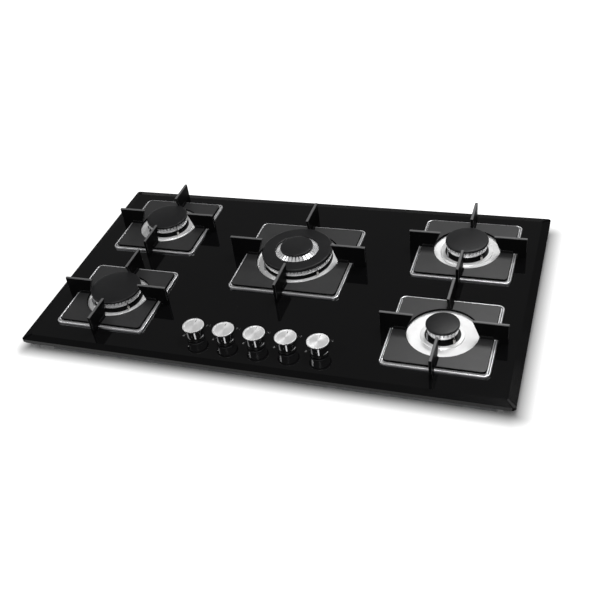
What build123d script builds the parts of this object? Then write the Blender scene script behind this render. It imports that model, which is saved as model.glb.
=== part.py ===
from build123d import *
import os
from math import cos, pi, radians, sin, sqrt

os.makedirs("parts", exist_ok=True)

# Five-burner built-in gas cooktop, in millimetres.
# +Z is up, +Y is the rear, the origin is the middle of the casing's underside.

# Extra length of cutting tools past the faces they cut
cut_over = 1.0

# Glass panel
glass_width = 870.0
glass_depth = 500.0
glass_thickness = 8.0
glass_corner_radius = 6.0
bevel_width = 14.0
bevel_drop = 2.2

# Pressed steel casing under the glass
casing_width = 810.0
casing_depth = 450.0
casing_height = 52.0
casing_corner_radius = 24.0
casing_edge_radius = 5.0
sheet = 1.0
flange_width = 8.0
bead_height = 2.0
bead_width = 16.0
bead_length = 120.0
bead_inner_x = 130.0
bead_inner_y = 20.0
vent_length = 34.0
vent_width = 4.0
vent_pitch = 11.0
vent_count = 7
shield_hole_radius = 2.1
shield_spacing_x = 700.0
shield_spacing_y = 300.0

# Foam seal between glass and worktop
seal_width = 10.0
seal_thickness = 3.0
seal_inset = 2.0

# Burner places on the glass: name, x, y
corner_x = 301.0
front_y = -110.5
rear_y = 124.0
centre_y = 54.5

# Cap radii of the five burners
cap_radius = {"lf": 47.0, "lr": 41.5, "rr": 38.0, "rf": 27.5, "c": 66.0}
place = {
    "lf": (-corner_x, front_y),
    "lr": (-corner_x, rear_y),
    "rr": (corner_x, rear_y),
    "rf": (corner_x, front_y),
    "c": (0.0, centre_y),
}

# Drip trays: pressed stainless squares with a hollow raised rim and a dished middle
tray_size = {"lf": 177.0, "lr": 177.0, "rr": 177.0, "rf": 177.0, "c": 212.0}
tray_corner_radius = 11.0
tray_sheet = 0.8
rim_width = 4.5
rim_height = 4.0
rim_draft = 12.0
tray_floor = 2.0
tray_hole_gap = 0.8
tray_well_margin = 0.5
tray_well_inset = 1.0

# Pan supports: a cast square plate with a round opening and four upright blades
opening_radius = {"lf": 59.0, "lr": 59.0, "rr": 59.0, "rf": 59.0, "c": 78.0}
blade_height = {"lf": 38.0, "lr": 38.0, "rr": 38.0, "rf": 38.0, "c": 42.0}
blade_overhang = {"lf": 15.5, "lr": 15.5, "rr": 15.5, "rf": 15.5, "c": 25.0}
blade_tip_gap = 0.8
blade_thickness = 5.0
blade_edge = 0.8
blade_foot_gap = 0.3
blade_leg_gap = 1.5
blade_root = 3.5
plate_gap = 2.0
plate_thickness = 3.5
plate_corner_radius = 7.5
plate_foot_height = 2.0
plate_foot_radius = 3.5
plate_foot_inset = 14.0
rim_clearance = 2.0

# Burner crowns, the slotted flame rings
cap_overhang = 2.5
crown_band_bottom = 10.0
crown_band_height = 13.0
crown_wall = 6.0
crown_floor = 2.5
crown_under_step = 1.0
crown_chamfer = 2.5
neck_step = 10.0
neck_wall = 2.5
neck_depth = 7.0
neck_gap = 0.4
throat_radius = 6.0
throat_wall = 2.0
throat_depth = 12.0
slot_width = 2.0
slot_depth = 6.5
slot_pitch = 6.6

# Caps
cap_edge = 4.4
cap_dome = 1.3
cap_fillet = 1.6
cap_ring_gap = 0.6
cap_ring_width = 2.5
cap_ring_depth = 3.0

# Extra rings of the centre burner
centre_band_bottom = 8.0
centre_band_height = 12.0
ring_cap_edge = 6.4
ring_cap_fillet = 2.2
inner_crown_radius = 40.0
inner_crown_top_radius = 31.5
inner_crown_top = 29.0
inner_crown_shoulder = 23.5
inner_crown_wall = 5.0
inner_crown_root = 1.0
inner_slot_extra = 1.0
inner_cap_radius = 30.5
ring_cap_inner_gap = 1.0

# Burner cups, the castings that hold each crown and hang through the glass
cup_wall = 4.0
cup_flange_top = 3.0
cup_flange_lip = 2.8
cup_flange_thickness = 2.4
cup_flange_bevel = 0.8
cup_skirt_offset = 8.2
cup_skirt_wall = 2.0
cup_skirt_depth = 10.0
cup_depth = 25.0
cup_floor = 3.0
cup_hole_gap = 1.2
boss_radius = 9.0
boss_bottom = 19.0
port_radius = 6.5
port_length = 17.0
port_bore_depth = 7.0

# Electrode and thermocouple beside each crown
electrode_offset = 3.4
electrode_radius = 2.0
electrode_angle = -40.0
electrode_pin_radius = 0.7
electrode_ceramic_top = 11.0
electrode_tip_drop = 2.5
probe_radius = 1.6
probe_angle = -140.0
probe_drop = 5.0
pin_hole_gap = 0.15
pin_tail = 21.0
pin_stub = 6.0
probe_collar_radius = 2.4
probe_nose_radius = 1.28

# Injectors
injector_radius = 4.0
injector_gap = 0.1
injector_hex = 9.0
injector_hex_height = 4.0
injector_nose_height = 5.0
injector_shank = 7.0
injector_orifice = 0.6

# Brackets that carry the cups
bracket_sheet = 1.5
bracket_width = 26.0
bracket_margin = 12.0
bracket_foot = 12.0
bracket_boss_gap = 0.5
screw_radius = 2.0
screw_head_radius = 3.8
screw_head_height = 2.2
screw_hole_gap = 0.15
cup_screw_inset = 1.0
cup_screw_end_gap = 0.2

# Control knobs and taps
tap_rail_gap = 4.0
knob_pitch = 56.0
knob_count = 5
knob_height = 25.0
knob_radius = 19.0
knob_disc = 3.0
knob_body_top_radius = 17.0
knob_body_base_radius = 15.8
knob_wall = 1.3
knob_lift = 4.2
knob_ceiling = 5.5
knob_boss_radius = 6.0
knob_boss_lift = 7.0
knob_dish = 0.6
knob_rim_width = 2.4
knob_rim_round = 0.8
knob_under_round = 0.5
knob_ceiling_round = 1.0
pointer_inset = 3.0
pointer_width = 1.4
pointer_length = 7.0
pointer_depth = 0.5
bezel_gap = 0.4
bezel_height = 5.0
bezel_inner_radius = 8.0
bezel_flange_radius = 15.6
bezel_flange_height = 1.0
bezel_edge = 0.6
spindle_radius = 3.0
spindle_flat = 2.1
spindle_top_gap = 1.0
spindle_gap = 0.05
spindle_below_ceiling = 2.0
spindle_flat_start = 2.0
spindle_foot_gap = 0.5
spindle_hole_radius = 6.0
push_travel = 3.0
tap_radius = 10.0
tap_bottom = 14.0
tap_top = 42.0
tap_bonnet_height = 2.5
tap_bonnet_length = 30.0
tap_neck_radius = 6.5
tap_neck_top = 49.0
tap_outlet_z = 27.0
tap_inlet_z = 17.0
plug_bottom = 21.0
plug_top = 37.0
plug_bottom_radius = 5.0
plug_top_radius = 6.0
plug_gap = 0.05
plug_slot_depth = 7.0
plug_port_radius = 2.0
bypass_radius = 0.7
tang_width = 2.4
tang_gap = 0.1
tang_length = 5.0
tang_slot_length = 7.0
tang_engagement = 3.0
chamber_radius = 4.4
tap_outlet_length = 12.0
tap_inlet_radius = 7.0
tap_floor = 2.0
seat_step = 0.2

# Gas pipes
tube_radius = 4.0
tube_bore = 3.2
tube_gap = 0.08
tube_bend = 16.0
tube_end_gap = 0.5
nut_flats = 14.0
nut_length = 9.0
nut_grip = 0.2
rail_radius = 7.0
rail_bore = 5.6
rail_wall_gap = 10.0
rail_side_gap = 21.0
rail_bend = 24.0
rail_overrun = 26.0
rail_saddle_gap = 0.1
rail_cap_length = 3.0
rail_in_socket = 12.0
saddle_spigot_radius = 3.2
inner_lane_y = -70.0
inner_lane_x = 200.0
inlet_thread_radius = 10.48
inlet_thread_length = 15.0
inlet_hex = 24.0
inlet_hex_length = 6.0
inlet_socket_radius = 10.0
inlet_socket_length = 24.0
inlet_hole_gap = 0.5
inlet_bore = 7.5

# Ignition module on the casing floor
module_length = 70.0
module_depth = 36.0
module_height = 20.0
module_x = 120.0
module_wall_gap = 26.0
terminal_radius = 3.0
terminal_height = 6.0
terminal_pitch = 12.0
terminal_floor = 1.5
module_corner = 3.0
module_edge = 1.0
ear_reach = 12.0
ear_width = 12.0
ear_thickness = 2.5

# Worktop clamps
clamp_y = 140.0
clamp_sheet = 1.5
clamp_width = 20.0
clamp_top = 26.0
clamp_bottom = 5.0
clamp_arm_z = 10.0
clamp_reach = 18.0
clamp_tip = 5.0
clamp_screw_z = 19.0
clamp_wall_gap = 0.1
clamp_screw_length = 12.0

# Places and heights worked out from the values above: the rail runs along the casing's
# front and right walls, the taps stand behind it and the knobs over them.
rail_y = rail_radius + rail_wall_gap + sheet - casing_depth / 2
rail_x = casing_width / 2 - sheet - rail_side_gap - rail_radius
knob_y = rail_y + rail_radius + tap_rail_gap + tap_radius
module_y = casing_depth / 2 - sheet - module_wall_gap - module_depth / 2
glass_bottom = casing_height
glass_top = glass_bottom + glass_thickness
crown_top = crown_band_bottom + crown_band_height
centre_crown_top = centre_band_bottom + centre_band_height
cup_bottom = glass_top - cup_depth
knob_x = [(n - (knob_count - 1) / 2) * knob_pitch for n in range(knob_count)]
knob_burner = ["lf", "lr", "c", "rr", "rf"]


def rounded_block(width, depth, radius, low, high, draft=0.0):
    """A rounded rectangle extruded from one height to another."""
    outline = Pos(0, 0, low) * RectangleRounded(width, depth, radius)
    return extrude(outline, amount=high - low, taper=draft)


def turned(points):
    """A solid turned about Z from (radius, height) points."""
    return revolve(Plane.XZ * Polygon(*points, align=None), axis=Axis.Z)


def disc(radius, low, high):
    """An upright cylinder between two heights."""
    return Pos(0, 0, (low + high) / 2) * Cylinder(radius, high - low)


def rod_along_y(radius, start, end):
    """A cylinder along Y, centred on X and Z zero."""
    return Pos(0, (start + end) / 2, 0) * Rot(90, 0, 0) * Cylinder(radius, end - start)


def on_circle(radius, angle):
    """A place on a circle about Z."""
    return Pos(radius * cos(radians(angle)), radius * sin(radians(angle)), 0)


def crown_radius(burner):
    return cap_radius[burner] - cap_overhang


def skirt_radius(burner):
    return crown_radius(burner) + cup_skirt_offset


def flange_radius(burner):
    return skirt_radius(burner) + cup_flange_lip


def neck_radius(burner):
    return crown_radius(burner) - neck_step


def band_bottom(burner):
    return centre_band_bottom if burner == "c" else crown_band_bottom


def band_top(burner):
    return centre_crown_top if burner == "c" else crown_top


def tube_direction(burner):
    """Turn about Z that points from a burner to the side its gas tube comes from."""
    return {"lf": 90.0, "lr": 90.0, "rr": -90.0, "rf": -90.0, "c": 0.0}[burner]


# The pin and probe stand in holes through the cup flange beside the crown.
def pin_place(burner, angle):
    return on_circle(crown_radius(burner) + electrode_offset, angle)


def glass_panel():
    """Tempered glass with a ground bevel and holes for the cups and spindles."""
    slab = rounded_block(
        glass_width, glass_depth, glass_corner_radius, glass_bottom, glass_top - bevel_drop
    )
    low = Pos(0, 0, glass_top - bevel_drop) * RectangleRounded(
        glass_width, glass_depth, glass_corner_radius
    )
    high = Pos(0, 0, glass_top) * RectangleRounded(
        glass_width - 2 * bevel_width, glass_depth - 2 * bevel_width, glass_corner_radius / 2
    )
    panel = slab + loft([low, high], ruled=True)
    for burner, (x, y) in place.items():
        panel -= Pos(x, y, 0) * disc(skirt_radius(burner) + cup_hole_gap, glass_bottom, glass_top)
    for x in knob_x:
        panel -= Pos(x, knob_y, 0) * disc(spindle_hole_radius, glass_bottom, glass_top)
    return panel


def worktop_seal():
    """Foam strip stuck round the underside of the glass."""
    width = glass_width - 2 * seal_inset
    depth = glass_depth - 2 * seal_inset
    low = glass_bottom - seal_thickness
    outer = rounded_block(width, depth, glass_corner_radius, low, glass_bottom)
    inner = rounded_block(
        width - 2 * seal_width, depth - 2 * seal_width, glass_corner_radius, low, glass_bottom
    )
    return outer - inner


def clamp_places():
    return [(side, y) for side in (-1, 1) for y in (-clamp_y, clamp_y)]


def base_pan():
    """Drawn steel casing with a bonded flange, stiffening beads and cooling slots."""
    outer = rounded_block(casing_width, casing_depth, casing_corner_radius, 0, casing_height)
    outer = fillet(outer.faces().sort_by(Axis.Z)[0].edges(), casing_edge_radius)
    inner = rounded_block(
        casing_width - 2 * sheet,
        casing_depth - 2 * sheet,
        casing_corner_radius - sheet,
        sheet,
        casing_height,
    )
    inner = fillet(inner.faces().sort_by(Axis.Z)[0].edges(), casing_edge_radius - sheet)
    flange = rounded_block(
        casing_width + 2 * flange_width,
        casing_depth + 2 * flange_width,
        casing_corner_radius + flange_width,
        casing_height - sheet,
        casing_height,
    )
    pan = outer + flange - inner
    for x, y, turn in bead_places():
        pan += Pos(x, y, 0) * Rot(0, 0, turn) * bead(bead_height + sheet, sheet)
        pan -= Pos(x, y, 0) * Rot(0, 0, turn) * bead(bead_height, 0)
    for x, y in vent_places():
        slot = Pos(x, y, 0) * Rot(0, 0, 90) * SlotOverall(vent_length, vent_width)
        pan -= extrude(slot, amount=sheet)
    for x in (-shield_spacing_x / 2, shield_spacing_x / 2):
        for y in (-shield_spacing_y / 2, shield_spacing_y / 2):
            pan -= Pos(x, y, 0) * disc(shield_hole_radius, 0, sheet)
    hole = rod_along_y(
        inlet_thread_radius + inlet_hole_gap, casing_depth / 2 - 2 * sheet, casing_depth / 2 + sheet
    )
    pan -= Pos(rail_x, 0, tap_inlet_z) * hole
    for side, y in clamp_places():
        screw = Rot(0, 90, 0) * Cylinder(screw_radius + screw_hole_gap, 4 * sheet)
        pan -= Pos(side * (casing_width / 2 - sheet / 2), y, clamp_screw_z) * screw
    return pan


def bead(height, grow):
    """One pressed bead of the floor, as a flat-topped slot."""
    return extrude(SlotOverall(bead_length + 2 * grow, bead_width + 2 * grow), amount=height)


def bead_places():
    """Beads lie between the burners, clear of brackets and pipes."""
    middle = (front_y + rear_y) / 2
    lane = (corner_x + inner_lane_x) / 2 - bead_width
    outer = [(-lane, middle, 90), (lane, middle, 90)]
    return outer + [(-bead_inner_x, bead_inner_y, 90), (bead_inner_x, bead_inner_y, 90)]


def vent_places():
    """Cooling slots through the floor, in one row at the rear left."""
    first = -(vent_count - 1) / 2 * vent_pitch
    return [(-module_x + first + n * vent_pitch, module_y) for n in range(vent_count)]


def drip_tray(burner):
    """Pressed tray: hollow rim, flat floor and a shallow cone down to the cup."""
    size = tray_size[burner]
    pocket = size - 2 * rim_width
    hole = skirt_radius(burner) + tray_hole_gap
    flat = flange_radius(burner) + tray_well_margin
    edge = opening_radius[burner] - tray_well_inset
    skin = tray_sheet
    tray = rounded_block(size, size, tray_corner_radius, 0, rim_height, rim_draft)
    well_corner = tray_corner_radius - rim_width
    tray -= rounded_block(pocket, pocket, well_corner, tray_floor, rim_height + cut_over, -rim_draft)
    tray -= turned([(0, skin), (flat, skin), (edge, tray_floor), (edge, rim_height), (0, rim_height)])
    under = rounded_block(
        size - 2 * skin, size - 2 * skin, tray_corner_radius - skin, 0, rim_height - skin, rim_draft
    )
    island = pocket + 2 * skin
    under -= rounded_block(
        island, island, well_corner + skin, tray_floor - skin, rim_height, -rim_draft
    )
    under -= turned([(0, 0), (flat, 0), (edge, tray_floor - skin), (edge, rim_height), (0, rim_height)])
    tray -= under
    tray -= disc(hole, -cut_over, rim_height)
    return tray


def pan_support(burner):
    """Cast square plate on four studs, with four upright blades across its sides."""
    pocket = tray_size[burner] - 2 * rim_width
    size = pocket - 2 * plate_gap
    low = tray_floor + plate_foot_height
    high = low + plate_thickness
    plate = rounded_block(size, size, plate_corner_radius, low, high)
    plate -= disc(opening_radius[burner], low, high)
    plate = chamfer(plate.faces().sort_by(Axis.Z)[-1].edges(), blade_edge)
    stud_place = size / 2 - plate_foot_inset
    for x in (-stud_place, stud_place):
        for y in (-stud_place, stud_place):
            plate += Pos(x, y, 0) * disc(plate_foot_radius, tray_floor, high - blade_edge)
    for turn in (0, 90, 180, 270):
        plate += Rot(0, 0, turn) * blade(burner, low, high)
    return plate


def blade(burner, low, high):
    """One blade along +X: slanted inner end, notch over the tray rim, leg to the glass."""
    tip = blade_tip_radius(burner)
    outer = tray_size[burner] / 2 + blade_overhang[burner]
    top = blade_height[burner]
    leg = tray_size[burner] / 2 + blade_leg_gap
    edge = tray_size[burner] / 2 - rim_width - plate_gap
    roof = rim_height + rim_clearance
    points = [
        (tip, top),
        (outer, top),
        (outer, blade_foot_gap),
        (leg, blade_foot_gap),
        (leg, roof),
        (edge - blade_edge, roof),
        (edge - blade_edge, low),
        (opening_radius[burner] + 2 * blade_edge, low),
    ]
    profile = Plane.XZ * Polygon(*points, align=None)
    body = extrude(profile, amount=blade_thickness / 2, both=True)
    top_edges = body.edges().group_by(Axis.Z)[-1].filter_by(Axis.X)
    body = chamfer(top_edges, blade_edge)
    inner = opening_radius[burner] + 2 * blade_edge
    half = blade_thickness / 2
    root = Polygon(
        (-half - blade_root, high - blade_edge),
        (half + blade_root, high - blade_edge),
        (half, high + blade_root),
        (-half, high + blade_root),
        align=None,
    )
    run = edge - 2 * blade_edge - inner
    body += Pos(inner, 0, 0) * extrude(Plane.YZ * root, amount=run)
    return body


def blade_tip_radius(burner):
    """The blades stop just outside the largest cap of their pattern, so it lifts out."""
    widest = cap_radius["c"] if burner == "c" else max(cap_radius[b] for b in cap_radius if b != "c")
    return widest + blade_tip_gap


def slots(radius, wall, top, depth, count):
    """Flame ports: upright slots cut through a ring from its top edge."""
    cutter = Box(wall + 4 * cut_over, slot_width, depth + cut_over)
    middle = radius - wall / 2
    return PolarLocations(middle, count) * (Pos(0, 0, top - (depth - cut_over) / 2) * cutter)


def burner_crown(burner):
    """Cast aluminium flame ring with ports, a neck that drops in the cup and a throat."""
    rc = crown_radius(burner)
    rn = neck_radius(burner)
    low = band_bottom(burner)
    top = band_top(burner)
    under = low + crown_under_step
    deck = under + crown_floor
    points = [
        (throat_radius, deck),
        (throat_radius, low - throat_depth),
        (throat_radius + throat_wall, low - throat_depth),
        (throat_radius + throat_wall, under),
        (rn - neck_wall, under),
        (rn - neck_wall, low - neck_depth),
        (rn, low - neck_depth),
        (rn, low),
        (rc - crown_chamfer, low),
        (rc, low + crown_chamfer),
        (rc, top),
        (rc - crown_wall, top),
        (rc - crown_wall, deck),
    ]
    crown = turned(points)
    count = round(2 * pi * rc / slot_pitch)
    crown -= slots(rc, crown_wall, top, slot_depth, count)
    if burner == "c":
        crown += inner_crown(deck)
    return crown


def inner_crown(deck):
    """Raised flared ring in the middle of the triple-ring burner, with its own ports."""
    root = inner_crown_radius - inner_crown_wall
    bore = inner_crown_top_radius - inner_crown_wall
    ring = turned(
        [
            (bore, deck - inner_crown_root),
            (inner_crown_radius, deck - inner_crown_root),
            (inner_crown_radius, inner_crown_shoulder),
            (inner_crown_top_radius, inner_crown_top),
            (bore, inner_crown_top),
            (bore, inner_crown_shoulder),
            (bore, deck),
        ]
    )
    count = round(2 * pi * root / slot_pitch)
    depth = inner_crown_top - inner_crown_shoulder + inner_slot_extra
    ring -= slots(inner_crown_radius, inner_crown_radius - bore, inner_crown_top, depth, count)
    return ring


def burner_cap(burner):
    """Enamelled cap: slightly domed disc with a locating ring inside the crown."""
    top = band_top(burner)
    rim = cap_radius[burner]
    ring = crown_radius(burner) - crown_wall - cap_ring_gap
    return domed_cap(rim, ring, top)


def inner_cap():
    """Small middle cap of the triple-ring burner."""
    ring = inner_crown_top_radius - inner_crown_wall - cap_ring_gap
    return domed_cap(inner_cap_radius, ring, inner_crown_top)


def domed_cap(rim, ring, seat):
    """Disc with a rounded rim, a shallow dome and a locating ring below."""
    shoulder = seat + cap_edge
    crest = shoulder + cap_dome
    hollow = ring - cap_ring_width
    flat = rim - cap_fillet
    sphere = (flat**2 + cap_dome**2) / (2 * cap_dome)
    middle = crest - sphere + sqrt(sphere**2 - (flat / 2) ** 2)
    outline = [
        Polyline((0, crest), (0, seat), (hollow, seat), (hollow, seat - cap_ring_depth)),
        Polyline((hollow, seat - cap_ring_depth), (ring, seat - cap_ring_depth), (ring, seat)),
        Polyline((ring, seat), (rim, seat), (rim, shoulder - cap_fillet)),
        rounded_corner(rim, shoulder, cap_fillet),
        ThreePointArc((flat, shoulder), (flat / 2, middle), (0, crest)),
    ]
    return revolve(Plane.XZ * make_face(Curve() + outline), axis=Axis.Z)


def rounded_corner(radius, height, size):
    """Quarter round between an upright side and a flat top."""
    middle = size * (1 - cos(radians(45)))
    return ThreePointArc(
        (radius, height - size), (radius - middle, height - middle), (radius - size, height)
    )


def ring_cap():
    """Annular cap over the outer flame ring of the centre burner."""
    outer = cap_radius["c"]
    inner = inner_crown_radius + ring_cap_inner_gap
    seat = band_top("c")
    top = seat + ring_cap_edge
    locate = crown_radius("c") - crown_wall - cap_ring_gap
    hollow = locate - cap_ring_width
    low = seat - cap_ring_depth
    outline = [
        Polyline((inner, top), (inner, seat), (hollow, seat), (hollow, low), (locate, low)),
        Polyline((locate, low), (locate, seat), (outer, seat), (outer, top - ring_cap_fillet)),
        rounded_corner(outer, top, ring_cap_fillet),
        Line((outer - ring_cap_fillet, top), (inner, top)),
    ]
    return revolve(Plane.XZ * make_face(Curve() + outline), axis=Axis.Z)


def burner_cup(burner):
    """Cast cup: flange on the tray, skirt in the glass, bowl, boss and gas port."""
    inner = neck_radius(burner) + neck_gap
    wall = inner + cup_wall
    skirt = skirt_radius(burner)
    lip = flange_radius(burner)
    floor = -cup_depth
    top = band_bottom(burner)
    under = cup_flange_top - cup_flange_thickness
    cup = turned(
        [
            (0, floor),
            (wall, floor),
            (wall, under),
            (skirt - cup_skirt_wall, under),
            (skirt - cup_skirt_wall, -cup_skirt_depth),
            (skirt, -cup_skirt_depth),
            (skirt, tray_sheet),
            (lip, tray_sheet),
            (lip, cup_flange_top - cup_flange_bevel),
            (lip - cup_flange_bevel, cup_flange_top),
            (wall, cup_flange_top),
            (wall, top),
            (inner, top),
            (inner, floor + cup_floor),
            (0, floor + cup_floor),
        ]
    )
    cup = Pos(0, 0, glass_top) * cup
    turn = Rot(0, 0, tube_direction(burner))
    cup += disc(boss_radius, boss_bottom, cup_bottom)
    cup += turn * Pos(0, 0, tap_outlet_z) * rod_along_y(port_radius, -port_length, 0)
    cup -= disc(injector_radius + injector_gap, tap_outlet_z, cup_bottom + cup_floor)
    port = rod_along_y(tube_radius + tube_gap, -port_length, -port_length + port_bore_depth)
    cup -= turn * Pos(0, 0, tap_outlet_z) * port
    cup -= turn * Pos(0, 0, tap_outlet_z) * rod_along_y(tube_bore, -port_length, 0)
    holes = ((electrode_angle, electrode_radius), (probe_angle, probe_radius))
    for angle, radius in holes:
        hole = disc(radius + pin_hole_gap, glass_bottom, glass_top + 2 * cup_flange_top)
        cup -= pin_place(burner, angle) * hole
    for x, y in cup_screw_places(burner):
        pilot = disc(screw_radius + screw_hole_gap, cup_bottom, cup_bottom + cup_floor)
        cup -= Pos(x, y, 0) * pilot
    return cup


def cup_screw_places(burner):
    """Two screws, square to the gas port, through bracket and cup floor."""
    reach = neck_radius(burner) - cup_screw_inset
    turn = radians(tube_direction(burner))
    return [(s * reach * cos(turn), s * reach * sin(turn)) for s in (-1, 1)]


def spark_electrode(burner):
    """Ceramic rod in the cup flange with a steel pin at its top."""
    rod = disc(electrode_radius, glass_top - pin_tail, glass_top + electrode_ceramic_top)
    tip = glass_top + band_top(burner) - electrode_tip_drop
    rod += disc(electrode_pin_radius, glass_top - pin_tail - pin_stub, tip)
    return pin_place(burner, electrode_angle) * rod


def thermocouple(burner):
    """Flame-failure probe in the cup flange."""
    rod = disc(probe_radius, glass_top - pin_tail, glass_top + band_top(burner) - probe_drop)
    rod = fillet(rod.edges().sort_by(Axis.Z)[-1], probe_nose_radius)
    rod += disc(probe_collar_radius, glass_top - pin_tail - pin_stub, glass_top - pin_tail)
    return pin_place(burner, probe_angle) * rod


def injector():
    """Brass jet screwed in the floor of the cup."""
    seat = cup_bottom + cup_floor
    nose = seat + injector_hex_height
    jet = disc(injector_radius, seat - injector_shank, seat)
    jet += Pos(0, 0, seat) * extrude(
        RegularPolygon(injector_hex / 2, 6, major_radius=False), amount=injector_hex_height
    )
    jet += Pos(0, 0, nose + injector_nose_height / 2) * Cone(
        injector_radius, injector_radius / 2, injector_nose_height
    )
    jet -= disc(injector_orifice, seat - injector_shank, nose + injector_nose_height)
    return jet


def burner_bracket(burner):
    """Folded strip that stands on the casing floor and carries one cup."""
    half = neck_radius(burner) + neck_gap + cup_wall + bracket_margin
    top = cup_bottom
    low = sheet
    t = bracket_sheet
    side = [
        (0, top),
        (half, top),
        (half, low + t),
        (half + bracket_foot, low + t),
        (half + bracket_foot, low),
        (half - t, low),
        (half - t, top - t),
        (0, top - t),
    ]
    profile = Plane.XZ * Polygon(*side, align=None)
    strip = extrude(profile, amount=bracket_width / 2, both=True)
    strip += Rot(0, 0, 180) * strip
    strip -= disc(boss_radius + bracket_boss_gap, low, top)
    strip = Rot(0, 0, tube_direction(burner)) * strip
    for x, y in cup_screw_places(burner):
        strip -= Pos(x, y, 0) * disc(screw_radius + screw_hole_gap, top - t, top)
    return strip


def screw(length):
    """Pan-head screw standing up, its head face on zero."""
    head = disc(screw_head_radius, -screw_head_height, 0)
    head = chamfer(head.edges().sort_by(Axis.Z)[0], screw_head_height / 3)
    return head + disc(screw_radius, 0, length)


def screws():
    """Cup screws from below and clamp screws through the casing sides."""
    made = []
    length = bracket_sheet + cup_floor - cup_screw_end_gap
    for burner, (x, y) in place.items():
        for dx, dy in cup_screw_places(burner):
            made.append(Pos(x + dx, y + dy, cup_bottom - bracket_sheet) * screw(length))
    face = casing_width / 2 + clamp_wall_gap + clamp_sheet
    for side, y in clamp_places():
        turn = Rot(0, -90 * side, 0)
        made.append(Pos(side * face, y, clamp_screw_z) * turn * screw(clamp_screw_length))
    return made


def worktop_clamp(side, y):
    """Folded clip on the casing side whose arm reaches under the worktop."""
    wall = casing_width / 2 + clamp_wall_gap
    t = clamp_sheet
    profile = [
        (wall, clamp_bottom),
        (wall + t, clamp_bottom),
        (wall + t, clamp_arm_z),
        (wall + clamp_reach, clamp_arm_z),
        (wall + clamp_reach, clamp_arm_z + clamp_tip),
        (wall + clamp_reach - t, clamp_arm_z + clamp_tip),
        (wall + clamp_reach - t, clamp_arm_z + t),
        (wall + t, clamp_arm_z + t),
        (wall + t, clamp_top),
        (wall, clamp_top),
    ]
    clip = extrude(Plane.XZ * Polygon(*profile, align=None), amount=clamp_width / 2, both=True)
    hole = Rot(0, 90, 0) * Cylinder(screw_radius + screw_hole_gap, 6 * t)
    clip -= Pos(wall, 0, clamp_screw_z) * hole
    return Pos(0, y, 0) * (clip if side > 0 else Rot(0, 0, 180) * clip)


def knob():
    """Hollow knob: tapered chrome body, spun disc on top, D-bored boss inside."""
    disc_low = knob_height - knob_disc
    ceiling = knob_height - knob_ceiling
    skirt = knob_body_base_radius - knob_wall
    upper = knob_body_top_radius - knob_wall
    cap = turned(
        [
            (skirt, knob_lift),
            (knob_body_base_radius, knob_lift),
            (knob_body_top_radius, disc_low),
            (knob_radius - knob_under_round, disc_low),
            (knob_radius, disc_low + knob_under_round),
            (knob_radius, knob_height - knob_rim_round),
            (knob_radius - knob_rim_round, knob_height),
            (knob_radius - knob_rim_width, knob_height),
            (knob_radius - knob_rim_width - knob_dish, knob_height - knob_dish),
            (0, knob_height - knob_dish),
            (0, knob_boss_lift),
            (knob_boss_radius, knob_boss_lift),
            (knob_boss_radius, ceiling),
            (upper - 2 * knob_ceiling_round, ceiling),
            (upper - knob_ceiling_round, ceiling - knob_ceiling_round),
        ]
    )
    bore_top = spindle_end() + spindle_top_gap
    cap -= d_shaft(spindle_radius + spindle_gap, spindle_flat + spindle_gap, knob_boss_lift, bore_top)
    middle = knob_radius - pointer_length / 2 - pointer_inset
    cap -= Pos(0, middle, knob_height - knob_dish) * Box(pointer_width, pointer_length, 2 * pointer_depth)
    return cap


def spindle_end():
    """Height of the spindle's top above the glass."""
    return knob_height - knob_ceiling - spindle_below_ceiling


def d_shaft(radius, flat, low, high):
    """A round shaft with one flat side."""
    shaft = disc(radius, low, high)
    height = high - low
    return shaft - Pos(radius, 0, (low + high) / 2) * Box(2 * (radius - flat), 2 * radius, height)


def tap_spindle():
    """Push spindle: D-shaft through bonnet and glass, flat tang in the plug's slot."""
    foot = plug_top + push_travel + spindle_foot_gap
    step = glass_top + spindle_flat_start
    shaft = disc(spindle_radius, foot, step)
    shaft += d_shaft(spindle_radius, spindle_flat, step, glass_top + spindle_end())
    tang_low = plug_top - tang_engagement
    tang = Pos(0, 0, (foot + tang_low) / 2) * Box(tang_length, tang_width, foot - tang_low)
    return shaft + tang


def tap_plug():
    """Tapered plug: hollow from below, main port to one side, by-pass port to another."""
    plug = Pos(0, 0, (plug_bottom + plug_top) / 2) * Cone(
        plug_bottom_radius, plug_top_radius, plug_top - plug_bottom
    )
    plug -= disc(plug_port_radius, plug_bottom, tap_outlet_z + plug_port_radius / 2)
    port = Rot(0, 0, -90) * rod_along_y(plug_port_radius, 0, plug_top_radius + cut_over)
    plug -= Pos(0, 0, tap_outlet_z) * port
    bypass = rod_along_y(bypass_radius, -plug_top_radius - cut_over, 0)
    plug -= Pos(0, 0, tap_outlet_z) * bypass
    slot_low = plug_top - plug_slot_depth
    slot = Box(tang_slot_length, tang_width + 2 * tang_gap, plug_slot_depth + cut_over)
    plug -= Pos(0, 0, slot_low + (plug_slot_depth + cut_over) / 2) * slot
    return plug


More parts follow.
